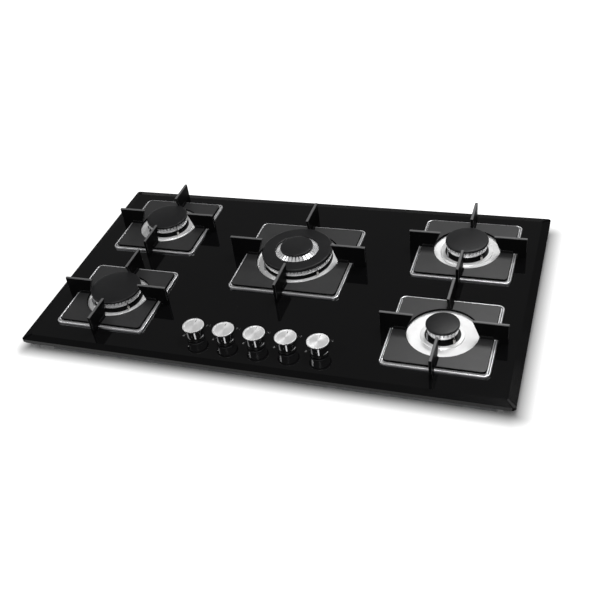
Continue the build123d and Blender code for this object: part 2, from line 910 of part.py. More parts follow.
def tap_body(n):
    """Brass valve body with tapered seat, bonnet, outlet and saddle on the gas rail."""
    body = disc(tap_radius, tap_bottom, tap_top)
    bonnet = Pos(0, 0, tap_top) * SlotOverall(tap_bonnet_length, 2 * tap_neck_radius)
    body += extrude(bonnet, amount=tap_bonnet_height)
    body += disc(tap_neck_radius, tap_top, tap_neck_top)
    outlet_end = tap_radius + tap_outlet_length
    body += Pos(0, 0, tap_outlet_z) * rod_along_y(port_radius, 0, outlet_end)
    rail = rail_y - knob_y
    body += Pos(0, 0, tap_inlet_z) * rod_along_y(tap_inlet_radius, rail, 0)
    saddle = Rot(0, 90, 0) * Cylinder(rail_radius + rail_saddle_gap, 4 * tap_radius)
    body -= Pos(0, rail, tap_inlet_z) * saddle
    spigot_end = rail + rail_bore
    body += Pos(0, 0, tap_inlet_z) * rod_along_y(saddle_spigot_radius, spigot_end, -chamber_radius)
    seat_low = plug_bottom - seat_step
    slope = (plug_top_radius - plug_bottom_radius) / (plug_top - plug_bottom)
    low_radius = plug_bottom_radius + plug_gap - seat_step * slope
    top_radius = plug_top_radius + plug_gap
    body -= Pos(0, 0, (seat_low + plug_top) / 2) * Cone(low_radius, top_radius, plug_top - seat_low)
    body -= disc(top_radius, plug_top, tap_top)
    body -= disc(spindle_radius + spindle_gap, tap_top, tap_neck_top)
    body -= disc(chamber_radius, tap_bottom + tap_floor, seat_low)
    body -= Pos(0, 0, tap_inlet_z) * rod_along_y(plug_port_radius, spigot_end, 0)
    body -= Pos(0, 0, tap_outlet_z) * rod_along_y(plug_port_radius, 0, outlet_end)
    socket = rod_along_y(tube_radius + tube_gap, outlet_end - port_bore_depth, outlet_end)
    body -= Pos(0, 0, tap_outlet_z) * socket
    return Pos(knob_x[n], knob_y, 0) * body


def knob_bezel(x):
    """Flanged collar on the glass that the knob's skirt runs over."""
    collar_radius = knob_body_base_radius - knob_wall - bezel_gap
    collar = disc(collar_radius, glass_top, glass_top + bezel_height)
    collar = chamfer(collar.edges().sort_by(Axis.Z)[-1], bezel_edge)
    collar -= disc(bezel_inner_radius, glass_top, glass_top + bezel_height)
    collar += disc(bezel_flange_radius, glass_top, glass_top + bezel_flange_height) - disc(
        bezel_inner_radius, glass_top, glass_top + bezel_flange_height
    )
    return Pos(x, knob_y, 0) * collar


def hex_nut(flats, length, bore):
    """A hexagon along +Y from zero, bored for the pipe it grips."""
    blank = extrude(RegularPolygon(flats / 2, 6, major_radius=False), amount=length)
    blank -= disc(bore, 0, length)
    return Rot(-90, 0, 0) * blank


def supply_tube(n):
    """Aluminium tube from one tap to its burner, with a union nut at each end."""
    burner = knob_burner[n]
    x, y = place[burner]
    start_y = knob_y + tap_radius + tap_outlet_length
    turn = tube_direction(burner)
    side = 0 if turn == 0 else (1 if turn > 0 else -1)
    in_tube = port_bore_depth - tube_end_gap
    start = (knob_x[n], start_y - in_tube)
    if burner == "c":
        end = (x, y - port_length + in_tube)
        points = [start, end]
    elif burner in ("lf", "rf"):
        end = (x + side * (port_length - in_tube), y)
        points = [start, (knob_x[n], y), end]
    else:
        end = (x + side * (port_length - in_tube), y)
        lane = -side * inner_lane_x
        points = [start, (knob_x[n], inner_lane_y), (lane, inner_lane_y), (lane, y), end]
    route = Polyline(*points) if len(points) == 2 else FilletPolyline(*points, radius=tube_bend)
    wire = Pos(0, 0, tap_outlet_z) * route
    ring = Plane(origin=wire @ 0, z_dir=wire % 0) * (Circle(tube_radius) - Circle(tube_bore))
    tube = sweep(ring, path=wire)
    nut = hex_nut(nut_flats, nut_length, tube_radius - nut_grip)
    tube += Pos(knob_x[n], start_y, tap_outlet_z) * nut
    tube += Pos(x, y, tap_outlet_z) * Rot(0, 0, turn) * Pos(0, -port_length - nut_length, 0) * nut
    return tube


def gas_rail():
    """Gas rail in front of the taps, turned back along the right side to the inlet."""
    left = knob_x[0] - rail_overrun
    rear = casing_depth / 2 - sheet - inlet_socket_length + rail_in_socket
    points = [(left, rail_y), (rail_x, rail_y), (rail_x, rear)]
    wire = Pos(0, 0, tap_inlet_z) * FilletPolyline(*points, radius=rail_bend)
    ring = Plane(origin=wire @ 0, z_dir=wire % 0) * (Circle(rail_radius) - Circle(rail_bore))
    rail = sweep(ring, path=wire)
    plug = Rot(0, 90, 0) * Cylinder(rail_radius, rail_cap_length)
    rail += Pos(left - rail_cap_length / 2, rail_y, tap_inlet_z) * plug
    for x in knob_x:
        tapping = rod_along_y(saddle_spigot_radius + rail_saddle_gap, 0, rail_radius + cut_over)
        rail -= Pos(x, rail_y, tap_inlet_z) * tapping
    return rail


def inlet_fitting():
    """Brass inlet through the rear wall, with a hexagon and a pipe-thread spigot."""
    inside = casing_depth / 2 - sheet
    outside = casing_depth / 2
    body = rod_along_y(inlet_socket_radius, inside - inlet_socket_length, outside)
    body += Pos(0, outside, 0) * hex_nut(inlet_hex, inlet_hex_length, inlet_bore)
    end = outside + inlet_hex_length + inlet_thread_length
    body += rod_along_y(inlet_thread_radius, outside + inlet_hex_length, end)
    body -= rod_along_y(inlet_bore, inside, end)
    body -= rod_along_y(rail_bore, inside - inlet_socket_length, end)
    socket_floor = inside - inlet_socket_length + rail_in_socket + tube_end_gap
    body -= rod_along_y(rail_radius + tube_gap, inside - inlet_socket_length, socket_floor)
    return Pos(rail_x, 0, tap_inlet_z) * body


def ignition_module():
    """Spark generator with one terminal for each burner."""
    box = Pos(0, 0, sheet + module_height / 2) * Box(module_length, module_depth, module_height)
    box = fillet(box.edges().filter_by(Axis.Z), module_corner)
    box = chamfer(box.faces().sort_by(Axis.Z)[-1].edges(), module_edge)
    ear = Pos(0, 0, sheet) * SlotOverall(module_length + 2 * ear_reach, ear_width)
    box += extrude(ear, amount=ear_thickness)
    top = sheet + module_height
    for n in range(knob_count):
        x = (n - (knob_count - 1) / 2) * terminal_pitch
        post = disc(terminal_radius, top, top + terminal_height)
        post -= disc(terminal_radius / 2, top + terminal_floor, top + terminal_height)
        box += Pos(x, 0, 0) * post
    return Pos(module_x, module_y, 0) * box


def save(name, shape):
    """Write one node; a list is a group of separate solids."""
    solids = shape if isinstance(shape, list) else [shape]
    parts = [s for piece in solids for s in piece.solids()]
    body = parts[0] if len(parts) == 1 else Compound(children=parts)
    body.label = name
    export_step(body, "parts/" + name + ".step")


def at_burner(burner, shape, lift=0.0):
    x, y = place[burner]
    return Pos(x, y, lift) * shape


save("glass_panel", glass_panel())
save("worktop_seal", worktop_seal())
save("base_pan", base_pan())
for burner in place:
    save("drip_tray_" + burner, at_burner(burner, drip_tray(burner), glass_top))
    save("pan_support_" + burner, at_burner(burner, pan_support(burner), glass_top))
    save("burner_cup_" + burner, at_burner(burner, burner_cup(burner)))
    save("burner_crown_" + burner, at_burner(burner, burner_crown(burner), glass_top))
    head = ring_cap() if burner == "c" else burner_cap(burner)
    save("burner_cap_" + burner, at_burner(burner, head, glass_top))
save("burner_cap_c_inner", at_burner("c", inner_cap(), glass_top))
for n, x in enumerate(knob_x):
    number = str(n + 1)
    save("knob_" + number, Pos(x, knob_y, glass_top) * knob())
    save("tap_spindle_" + number, Pos(x, knob_y, 0) * tap_spindle())
    save("tap_plug_" + number, Pos(x, knob_y, 0) * tap_plug())
    save("tap_body_" + number, tap_body(n))
save("knob_bezels", [knob_bezel(x) for x in knob_x])
save("gas_rail", gas_rail())
save("inlet_fitting", inlet_fitting())
save("supply_tubes", [supply_tube(n) for n in range(knob_count)])
save("injectors", [at_burner(b, injector()) for b in place])
save("spark_electrodes", [at_burner(b, spark_electrode(b)) for b in place])
save("thermocouples", [at_burner(b, thermocouple(b)) for b in place])
save("burner_brackets", [at_burner(b, burner_bracket(b)) for b in place])
save("ignition_module", ignition_module())
save("worktop_clamps", [worktop_clamp(side, y) for side, y in clamp_places()])
save("screws", screws())
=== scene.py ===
import math

import bmesh
import bpy
from mathutils import Matrix, Vector


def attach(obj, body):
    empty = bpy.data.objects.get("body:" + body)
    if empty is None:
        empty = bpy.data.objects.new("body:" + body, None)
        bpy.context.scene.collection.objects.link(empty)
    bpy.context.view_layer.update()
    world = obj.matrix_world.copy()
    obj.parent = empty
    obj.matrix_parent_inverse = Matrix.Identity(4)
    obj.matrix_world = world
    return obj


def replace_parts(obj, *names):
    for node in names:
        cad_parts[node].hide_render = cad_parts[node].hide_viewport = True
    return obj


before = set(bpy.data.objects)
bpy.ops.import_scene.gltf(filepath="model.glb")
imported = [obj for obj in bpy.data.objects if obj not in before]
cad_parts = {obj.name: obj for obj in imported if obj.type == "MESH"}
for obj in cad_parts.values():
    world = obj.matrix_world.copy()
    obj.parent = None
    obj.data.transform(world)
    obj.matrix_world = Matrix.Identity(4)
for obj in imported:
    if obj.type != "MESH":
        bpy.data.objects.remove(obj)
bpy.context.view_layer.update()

MM = 0.001
FULL_TURN = 2 * math.pi

# Heights in metres above the casing's underside.
GLASS_TOP = 0.060
FLOOR_Z = 0.030
BLADE_ROOT = (GLASS_TOP + 0.009, GLASS_TOP + 0.012)
BLADE_CREST = (GLASS_TOP + 0.036, GLASS_TOP + 0.0375)
CERAMIC_TOP = GLASS_TOP + 0.0108
CERAMIC_FOOT = GLASS_TOP - 0.0211
INLET_Z = 0.017

# Places in metres from the middle of the glass.
BURNERS = {
    "lf": (-0.301, -0.1105),
    "lr": (-0.301, 0.124),
    "rr": (0.301, 0.124),
    "rf": (0.301, -0.1105),
    "c": (0.0, 0.0545),
}
KNOB_X = [-0.112, -0.056, 0.0, 0.056, 0.112]
KNOB_Y = -0.186
KNOB_BURNER = ["lf", "lr", "c", "rr", "rf"]
INLET_X = 0.376

# Pipe thread of the inlet, in metres: the Y where it starts, its pitch and its depth.
THREAD_START = 0.2312
THREAD_PITCH = 0.001814
THREAD_DEPTH = 0.0004

# Sizes, and heights over the glass, in millimetres.
CAP_RADIUS = {"lf": 47.0, "lr": 41.5, "rr": 38.0, "rf": 27.5, "c": 66.0}
CAP_OVERHANG = 2.5
CAP_SEAT = 23.0
CAP_RING_INSET = 9.1
SMALL_CAP_RADIUS = 30.5
SMALL_CAP_RING = 25.9
SMALL_CAP_SEAT = 29.0
TRAY_SIZE = {"lf": 177.0, "lr": 177.0, "rr": 177.0, "rf": 177.0, "c": 212.0}
TRAY_CORNER = 11.0
TRAY_SHEET = 0.8
TRAY_FLOOR = 2.0
WELL_RADIUS = {"lf": 58.0, "lr": 58.0, "rr": 58.0, "rf": 58.0, "c": 77.0}

# How far outside the crown the dish's slope ends, the tray's hole lies and the cup's band of
# painted shade reaches, in millimetres.
WELL_FLAT = 11.5
WELL_HOLE = 9.0
PAINTED_SHADE_BAND = {"lf": 1.6, "lr": 1.6, "rr": 3.0, "rf": 4.5, "c": 1.6}

# Half sizes in metres on the stage floor: its cut-out for the casing, and the rectangle in which
# the floor has no glow, so the painted contact shadow is full. Outside it the painted shadow fades
# out over the reach.
CUT_OUT_HALF = (0.415, 0.235)
SHADOW_HALF = (0.433, 0.238)
SHADOW_REACH = 0.036


def grey(value):
    return (value, value, value)


def scaled(colour, factor):
    return tuple(c * factor for c in colour)


def crown_radius(burner):
    return CAP_RADIUS[burner] - CAP_OVERHANG


# ---------------------------------------------------------------- materials
class Nodes:
    """A material's node tree with short calls for the nodes used here."""

    def __init__(self, name):
        self.mat = bpy.data.materials.new(name)
        self.mat.use_nodes = True
        self.tree = self.mat.node_tree
        self.bsdf = self.tree.nodes["Principled BSDF"]
        self.out = self.tree.nodes["Material Output"]

    def add(self, kind, **values):
        node = self.tree.nodes.new(kind)
        for key, value in values.items():
            setattr(node, key, value)
        return node

    def link(self, a, b):
        self.tree.links.new(a, b)

    def set(self, **values):
        """Numbers that are the same all over the surface."""
        for key, value in values.items():
            self.bsdf.inputs[key.replace("_", " ")].default_value = value

    def drive(self, socket, value):
        """A socket of the shader that varies over the surface."""
        self.link(value, self.bsdf.inputs[socket])

    def coords(self, scale=(1, 1, 1), shift=(0, 0, 0)):
        place = self.add("ShaderNodeTexCoord")
        mapping = self.add("ShaderNodeMapping")
        mapping.inputs["Scale"].default_value = scale
        mapping.inputs["Location"].default_value = shift
        self.link(place.outputs["Object"], mapping.inputs["Vector"])
        return mapping.outputs["Vector"]

    def split(self, vector):
        """The X, Y and Z outputs of a vector."""
        node = self.add("ShaderNodeSeparateXYZ")
        self.link(vector, node.inputs["Vector"])
        return node.outputs

    def noise(self, scale, detail=4.0, rough=0.55, stretch=(1, 1, 1)):
        node = self.add("ShaderNodeTexNoise")
        node.inputs["Scale"].default_value = scale
        node.inputs["Detail"].default_value = detail
        node.inputs["Roughness"].default_value = rough
        self.link(self.coords(stretch), node.inputs["Vector"])
        return node.outputs["Fac"]

    def cells(self, scale):
        node = self.add("ShaderNodeTexVoronoi")
        node.inputs["Scale"].default_value = scale
        self.link(self.coords(), node.inputs["Vector"])
        return node.outputs

    def ramp(self, value, low, high, bottom=0.0, top=1.0):
        node = self.add("ShaderNodeMapRange")
        node.inputs["From Min"].default_value = low
        node.inputs["From Max"].default_value = high
        node.inputs["To Min"].default_value = bottom
        node.inputs["To Max"].default_value = top
        self.link(value, node.inputs["Value"])
        return node.outputs["Result"]

    def spread(self, noise, bottom, top):
        """A noise's usual span brought to a range of its own."""
        return self.ramp(noise, 0.3, 0.7, bottom, top)

    def math(self, kind, *values):
        node = self.add("ShaderNodeMath", operation=kind)
        for socket, value in zip(node.inputs, values):
            if isinstance(value, (int, float)):
                socket.default_value = value
            else:
                self.link(value, socket)
        return node.outputs["Value"]

    def colours(self, value, first, second):
        node = self.add("ShaderNodeMix", data_type="RGBA")
        for socket, colour in (("A", first), ("B", second)):
            if isinstance(colour, tuple):
                node.inputs[socket].default_value = (*colour, 1)
            else:
                self.link(colour, node.inputs[socket])
        self.link(value, node.inputs["Factor"])
        return node.outputs["Result"]

    def bump(self, height, distance, strength=1.0):
        node = self.add("ShaderNodeBump")
        node.inputs["Distance"].default_value = distance
        node.inputs["Strength"].default_value = strength
        self.link(height, node.inputs["Height"])
        self.drive("Normal", node.outputs["Normal"])

    def height(self):
        """Height above the casing's underside, in metres."""
        return self.split(self.coords())["Z"]

    def radius(self, x, y):
        """Distance from an upright line, in metres."""
        place = self.split(self.coords(shift=(-x, -y, 0)))
        dx = self.math("MULTIPLY", place["X"], place["X"])
        dy = self.math("MULTIPLY", place["Y"], place["Y"])
        return self.math("SQRT", self.math("ADD", dx, dy))

    def around(self, x, y):
        """Direction of the turning lines about an upright line."""
        place = self.split(self.coords(shift=(-x, -y, 0)))
        made = self.add("ShaderNodeCombineXYZ")
        self.link(self.math("MULTIPLY", place["Y"], -1.0), made.inputs["X"])
        self.link(place["X"], made.inputs["Y"])
        unit = self.add("ShaderNodeVectorMath", operation="NORMALIZE")
        self.link(made.outputs["Vector"], unit.inputs[0])
        return unit.outputs["Vector"]

    def outside(self, half_x, half_y):
        """Distance from an upright-sided rectangle about the origin, in metres."""
        place = self.split(self.coords())
        squares = []
        for axis, half in (("X", half_x), ("Y", half_y)):
            over = self.math("SUBTRACT", self.math("ABSOLUTE", place[axis]), half)
            over = self.math("MAXIMUM", over, 0.0)
            squares.append(self.math("MULTIPLY", over, over))
        return self.math("SQRT", self.math("ADD", *squares))

    def normal(self):
        """The three parts of the surface normal."""
        return self.split(self.add("ShaderNodeNewGeometry").outputs["Normal"])

    def facing_up(self):
        """Upward part of the surface normal: 1 on a top, 0 on an upright side."""
        return self.normal()["Z"]

    def facing_corner(self):
        """Product of the normal's two level parts: 0 on straight bevels, more on their corners."""
        normal = self.normal()
        return self.math("ABSOLUTE", self.math("MULTIPLY", normal["X"], normal["Y"]))

    def edge(self, width):
        """About 1 on a sharp edge, 0 away from it."""
        flat, sharp = 0.995, 0.93
        soft = self.add("ShaderNodeBevel", samples=4)
        soft.inputs["Radius"].default_value = width
        place = self.add("ShaderNodeNewGeometry")
        turn = self.add("ShaderNodeVectorMath", operation="DOT_PRODUCT")
        self.link(soft.outputs["Normal"], turn.inputs[0])
        self.link(place.outputs["Normal"], turn.inputs[1])
        return self.ramp(turn.outputs["Value"], flat, sharp)


def glass_material():
    """Black glass with faint smudges; its ground bevel is duller, most of all at the corners."""
    m = Nodes("black_glass")
    bevel, flat = 0.995, 0.999
    up = m.facing_up()
    smudge = m.ramp(m.noise(14.0, 5.0, 0.6), 0.35, 0.75, 0.015, 0.05)
    ground = m.ramp(up, bevel, flat, 0.12, 0.0)
    m.drive("Roughness", m.math("ADD", smudge, ground))
    tint = m.noise(5.0, 2.0)
    m.drive("Base Color", m.colours(tint, (0.0024, 0.0024, 0.0026), (0.0036, 0.0036, 0.0038)))
    shine = m.ramp(up, bevel, flat, 0.20, 0.5)
    corner = m.ramp(m.facing_corner(), 0.0004, 0.002, 0.0, 0.18)
    m.drive("Specular IOR Level", m.math("SUBTRACT", shine, corner))
    m.set(IOR=1.5)
    return m.mat


def brushed(name, colour, rough, stretch):
    """Metal with fine lines along one direction."""
    m = Nodes(name)
    swing = 0.08
    lines = m.noise(900.0, 3.0, 0.6, stretch)
    broad = m.noise(22.0, 3.0)
    fine = m.spread(lines, -swing, swing)
    wide = m.spread(broad, -swing / 2, swing / 2)
    m.drive("Roughness", m.math("ADD", m.math("ADD", fine, wide), rough))
    m.drive("Base Color", m.colours(broad, scaled(colour, 0.86), colour))
    m.bump(lines, 0.00002)
    m.set(Metallic=1.0)
    return m.mat


def tray_steel():
    """Pressed steel with fine lines: satin crests, and slopes that mirror what lies beside and are
    painted darker as shade.
    """
    m = Nodes("tray_steel")
    lines = m.noise(900.0, 3.0, 0.6, (1, 0.02, 1))
    m.drive("Roughness", m.spread(lines, 0.27, 0.35))
    # Painted light and shade: crests facing up get a light colour and the slopes a dark one.
    painted_lit_crest = m.ramp(m.facing_up(), 0.80, 0.97)
    broad = m.spread(m.noise(22.0, 3.0), 0.9, 1.0)
    tone = m.math("MULTIPLY", painted_lit_crest, broad)
    m.drive("Base Color", m.colours(tone, (0.30, 0.30, 0.31), (0.90, 0.90, 0.91)))
    m.drive("Metallic", m.ramp(painted_lit_crest, 0.0, 1.0, 1.0, 0.60))
    m.bump(lines, 0.000012)
    return m.mat


def cap_enamel():
    """Enamelled cast iron: fine orange-peel with slightly polished high spots."""
    m = Nodes("cap_enamel")
    colour = (0.008, 0.008, 0.0085)
    peel = m.noise(1300.0, 4.0, 0.55)
    m.drive("Roughness", m.spread(m.noise(30.0, 3.0), 0.35, 0.45))
    m.drive("Base Color", m.colours(peel, colour, scaled(colour, 1.5)))
    m.bump(peel, 0.00002, 0.6)
    m.set(Specular_IOR_Level=0.30)
    return m.mat


def support_iron():
    """Satin enamel on cast iron: sides painted dark and plate tops painted greyer as shade and
    light, blade tops painted lighter as highlight, and edges lighter partly as wear and partly as
    painted highlight.
    """
    m = Nodes("support_iron")
    peel = m.noise(1500.0, 4.0, 0.55)
    broad = m.noise(30.0, 3.0)
    up = m.facing_up()
    top = m.ramp(up, 0.75, 0.95)
    on_blade = m.ramp(m.height(), *BLADE_ROOT)
    painted_lit_crest = m.math("MULTIPLY", m.ramp(m.height(), *BLADE_CREST), m.ramp(up, 0.3, 0.7))
    # Painted highlight: blade crests, and blade edges partly as wear, get a light colour.
    worn_and_painted_edge = m.math("MULTIPLY", m.edge(0.0009), on_blade)
    light = m.math("MAXIMUM", m.math("MULTIPLY", worn_and_painted_edge, 0.7), m.math("MULTIPLY", painted_lit_crest, 0.8))
    # Painted light and shade: faces turned up get a greyer colour than the sides.
    tone = m.colours(top, (0.0035, 0.0035, 0.0037), (0.018, 0.018, 0.0185))
    m.drive("Base Color", m.colours(light, tone, (0.13, 0.13, 0.132)))
    m.drive("Specular IOR Level", m.ramp(top, 0.0, 1.0, 0.015, 0.72))
    m.drive("Roughness", m.spread(broad, 0.42, 0.50))
    m.bump(peel, 0.00003, 0.6)
    return m.mat


def cup_metal(burner):
    """Cast cup: satin outer flange, and a dark band painted round the crown as the shade under it.
    """
    m = Nodes("cup_" + burner)
    blur = 0.0004
    # Painted shade: a dark, dull band round the crown's foot.
    shade_band_end = (crown_radius(burner) + PAINTED_SHADE_BAND[burner]) * MM
    past_painted_shade = m.ramp(m.radius(*BURNERS[burner]), shade_band_end - blur, shade_band_end + blur)
    m.drive("Base Color", m.colours(past_painted_shade, grey(0.006), grey(0.92)))
    m.drive("Roughness", m.spread(m.noise(80.0, 4.0), 0.32, 0.42))
    m.drive("Metallic", m.ramp(past_painted_shade, 0.0, 1.0, 0.0, 0.5))
    m.drive("Specular IOR Level", m.ramp(past_painted_shade, 0.0, 1.0, 0.25, 0.5))
    m.bump(m.noise(900.0, 3.0), 0.00002)
    return m.mat


def cast_aluminium(name, colour, rough, metallic):
    m = Nodes(name)
    grain = m.noise(700.0, 3.0)
    m.drive("Roughness", m.spread(grain, rough - 0.06, rough + 0.08))
    m.drive("Base Color", m.colours(m.noise(40.0, 3.0), scaled(colour, 0.8), colour))
    m.bump(grain, 0.00004)
    m.set(Metallic=metallic)
    return m.mat


def turned_disc(name, x, y):
    """Bright metal faced on a lathe: fine rings about an upright line, and dark sides."""
    m = Nodes(name)
    ring_pitch = 0.00035
    grain = m.add("ShaderNodeTexNoise", noise_dimensions="1D")
    grain.inputs["Scale"].default_value = 1.0 / ring_pitch
    grain.inputs["Detail"].default_value = 3.0
    m.link(m.radius(x, y), grain.inputs["W"])
    m.drive("Roughness", m.spread(grain.outputs["Fac"], 0.34, 0.48))
    face = m.ramp(m.facing_up(), 0.3, 0.8)
    tone = m.math("MULTIPLY", face, m.spread(grain.outputs["Fac"], 0.85, 1.0))
    m.drive("Base Color", m.colours(tone, grey(0.08), grey(0.95)))
    m.drive("Tangent", m.around(x, y))
    m.set(Metallic=0.6, Anisotropic=0.6)
    return m.mat


def chrome(name):
    m = Nodes(name)
    colour = (0.52, 0.52, 0.53)
    film = m.noise(60.0, 3.0)
    m.drive("Roughness", m.spread(film, 0.07, 0.12))
    m.drive("Base Color", m.colours(film, scaled(colour, 0.92), colour))
    m.set(Metallic=1.0)
    return m.mat


def plastic(name, colour, rough):
    m = Nodes(name)
    grain = m.noise(1200.0, 2.0)
    m.drive("Roughness", m.spread(grain, rough - 0.03, rough + 0.05))
    m.drive("Base Color", m.colours(m.noise(50.0), scaled(colour, 0.9), colour))
    m.bump(grain, 0.00003)
    return m.mat


def foam():
    m = Nodes("seal_foam")
    cells = m.cells(900.0)
    m.drive("Base Color", m.colours(cells["Distance"], grey(0.03), grey(0.07)))
    m.bump(cells["Distance"], 0.0003)
    m.set(Roughness=0.9)
    return m.mat


def galvanised():
    """Zinc-coated steel with its spangle."""
    m = Nodes("casing_steel")
    tone = m.ramp(m.cells(90.0)["Color"], 0.0, 1.0)
    m.drive("Base Color", m.colours(tone, (0.46, 0.47, 0.48), (0.62, 0.63, 0.64)))
    m.drive("Roughness", m.ramp(tone, 0.0, 1.0, 0.34, 0.48))
    m.set(Metallic=1.0)
    return m.mat


def tarnished_brass(name, dark, light):
    m = Nodes(name)
    film = m.noise(70.0, 4.0)
    m.drive("Base Color", m.colours(film, dark, light))
    m.drive("Roughness", m.spread(film, 0.26, 0.40))
    m.set(Metallic=1.0)
    return m


def brass(name, colour=(0.70, 0.50, 0.22)):
    m = tarnished_brass(name, scaled(colour, 0.7), colour)
    m.bump(m.noise(500.0, 3.0), 0.00004)
    return m.mat


def threaded_brass():
    """Brass whose outer spigot shows the pipe thread."""
    m = tarnished_brass("inlet_brass", (0.46, 0.33, 0.14), (0.70, 0.50, 0.22))
    place = m.split(m.coords())
    up = m.math("SUBTRACT", place["Z"], INLET_Z)
    across = m.math("SUBTRACT", place["X"], INLET_X)
    turn = m.math("ARCTAN2", up, across)
    along = m.math("MULTIPLY", place["Y"], FULL_TURN / THREAD_PITCH)
    wave = m.math("SINE", m.math("SUBTRACT", along, turn))
    threaded = m.math("GREATER_THAN", place["Y"], THREAD_START)
    m.bump(m.math("MULTIPLY", wave, threaded), THREAD_DEPTH)
    return m.mat


def electrode_material():
    """White glazed ceramic with a steel pin above and below."""
    m = Nodes("electrode_ceramic")
    z = m.height()
    above = m.math("GREATER_THAN", z, CERAMIC_TOP)
    below = m.math("LESS_THAN", z, CERAMIC_FOOT)
    steel = m.math("MAXIMUM", above, below)
    speck = m.noise(300.0, 3.0)
    m.drive("Roughness", m.spread(speck, 0.18, 0.32))
    m.drive("Base Color", m.colours(steel, (0.42, 0.41, 0.39), (0.20, 0.19, 0.19)))
    m.drive("Metallic", steel)
    m.bump(speck, 0.00002)
    return m.mat


def ink():
    m = Nodes("printed_ink")
    m.drive("Base Color", m.colours(m.noise(900.0, 2.0), grey(0.13), grey(0.19)))
    m.set(Roughness=0.45)
    return m.mat


GLASS = glass_material()
TRAY = tray_steel()
WELL = cast_aluminium("satin_dish", grey(0.92), 0.48, 0.5)
IRON = support_iron()
ENAMEL = cap_enamel()
CROWN = cast_aluminium("crown_aluminium", (0.93, 0.93, 0.94), 0.20, 0.5)
INK = ink()
STEEL = brushed("plain_steel", (0.60, 0.61, 0.62), 0.34, (0.03, 1, 1))


# ---------------------------------------------------------------- mesh helpers
def new_object(name, bm, material, body, smooth=35.0):
    """A piece from a finished mesh; edges sharper than the angle stay sharp, 0 keeps all flat."""
    bmesh.ops.recalc_face_normals(bm, faces=bm.faces)
    mesh = bpy.data.meshes.new(name)
    bm.to_mesh(mesh)
    bm.free()
    if smooth:
        mesh.polygons.foreach_set("use_smooth", [True] * len(mesh.polygons))
        mesh.set_sharp_from_angle(angle=math.radians(smooth))
    mesh.materials.append(material)
    piece = bpy.data.objects.new(name, mesh)
    bpy.context.scene.collection.objects.link(piece)
    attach(piece, body)
    return piece


def join_rings(bm, a, b):
    """Faces between two rings of points; a ring of one point makes a fan."""
    count = max(len(a), len(b))
    made = []
    for n in range(count if count > 1 else 0):
        m = (n + 1) % count
        if len(a) == 1:
            made.append(bm.faces.new((a[0], b[m], b[n])))
        elif len(b) == 1:
            made.append(bm.faces.new((a[n], a[m], b[0])))
        else:
            made.append(bm.faces.new((a[n], a[m], b[m], b[n])))
    return made


def lathe(points, x, y, z, count):
    """A closed turned shape: (radius, height) points in millimetres about an upright line."""
    bm = bmesh.new()
    rings = []
    for r, h in points:
        if r == 0:
            rings.append([bm.verts.new((x, y, z + h * MM))])
            continue
        ring = []
        for n in range(count):
            a = FULL_TURN * n / count
            spot = (x + r * MM * math.cos(a), y + r * MM * math.sin(a), z + h * MM)
            ring.append(bm.verts.new(spot))
        rings.append(ring)
    for a, b in zip(rings, rings[1:]):
        join_rings(bm, a, b)
    if len(rings[0]) > 1 and len(rings[-1]) > 1:
        join_rings(bm, rings[-1], rings[0])
    return bm


def extrude_outline(bm, outline, x, y, low, high):
    """A thin plate from a closed outline in millimetres."""
    a = [bm.verts.new((x + px * MM, y + py * MM, low)) for px, py in outline]
    b = [bm.verts.new((x + px * MM, y + py * MM, high)) for px, py in outline]
    bm.faces.new(list(reversed(a)))
    bm.faces.new(b)
    for n in range(len(outline)):
        m = (n + 1) % len(outline)
        bm.faces.new((a[n], a[m], b[m], b[n]))


def arc(cx, cz, rx, rz, start, end, steps):
    """Points on an ellipse from one angle to another, in degrees."""
    made = []
    for n in range(steps + 1):
        a = math.radians(start + (end - start) * n / steps)
        made.append((cx + rx * math.cos(a), cz + rz * math.sin(a)))
    return made


def rotated(x, y, a):
    return (x * math.cos(a) - y * math.sin(a), x * math.sin(a) + y * math.cos(a))


def square_loop(half, radius, count):
    """A rounded square with its points spread evenly by angle round each corner and side."""
    per = count // 4
    corner = per // 2
    centre = half - radius
    made = []
    for q in range(4):
        c = math.radians(90 * q)
        for n in range(corner + 1):
            a = math.radians(90 * n / corner)
            made.append(rotated(centre + radius * math.cos(a), centre + radius * math.sin(a), c))
        side = per - corner - 1
        for n in range(1, side + 1):
            t = n / (side + 1)
            made.append(rotated(centre * (1 - 2 * t), half, c))
    return made


def circle_like(square, radius):
    """Circle points at the same bearings as a square's points."""
    made = []
    for px, py in square:
        a = math.atan2(py, px)
        made.append((radius * math.cos(a), radius * math.sin(a)))
    return made


# ---------------------------------------------------------------- drip trays
def tray_rim():
    """Cross-section of the rolled rim: (inset from the outer edge, height over the glass)."""
    rim = [(0.0, 0.0), (0.12, 0.8), (0.35, 1.8), (0.62, 2.6)]
    rim += arc(2.35, 2.9, 1.6, 1.1, 170, 10, 10)
    return rim + [(4.08, 2.7), (4.28, 2.3), (4.6, 2.06), (5.2, TRAY_FLOOR)]


def tray_underside():
    """The same from below, from the floor back to the outer edge."""
    return [(5.6, 1.2), (4.9, 1.3), (3.6, 2.5), (2.35, 3.2), (1.2, 2.5), (TRAY_SHEET, 0.0)]


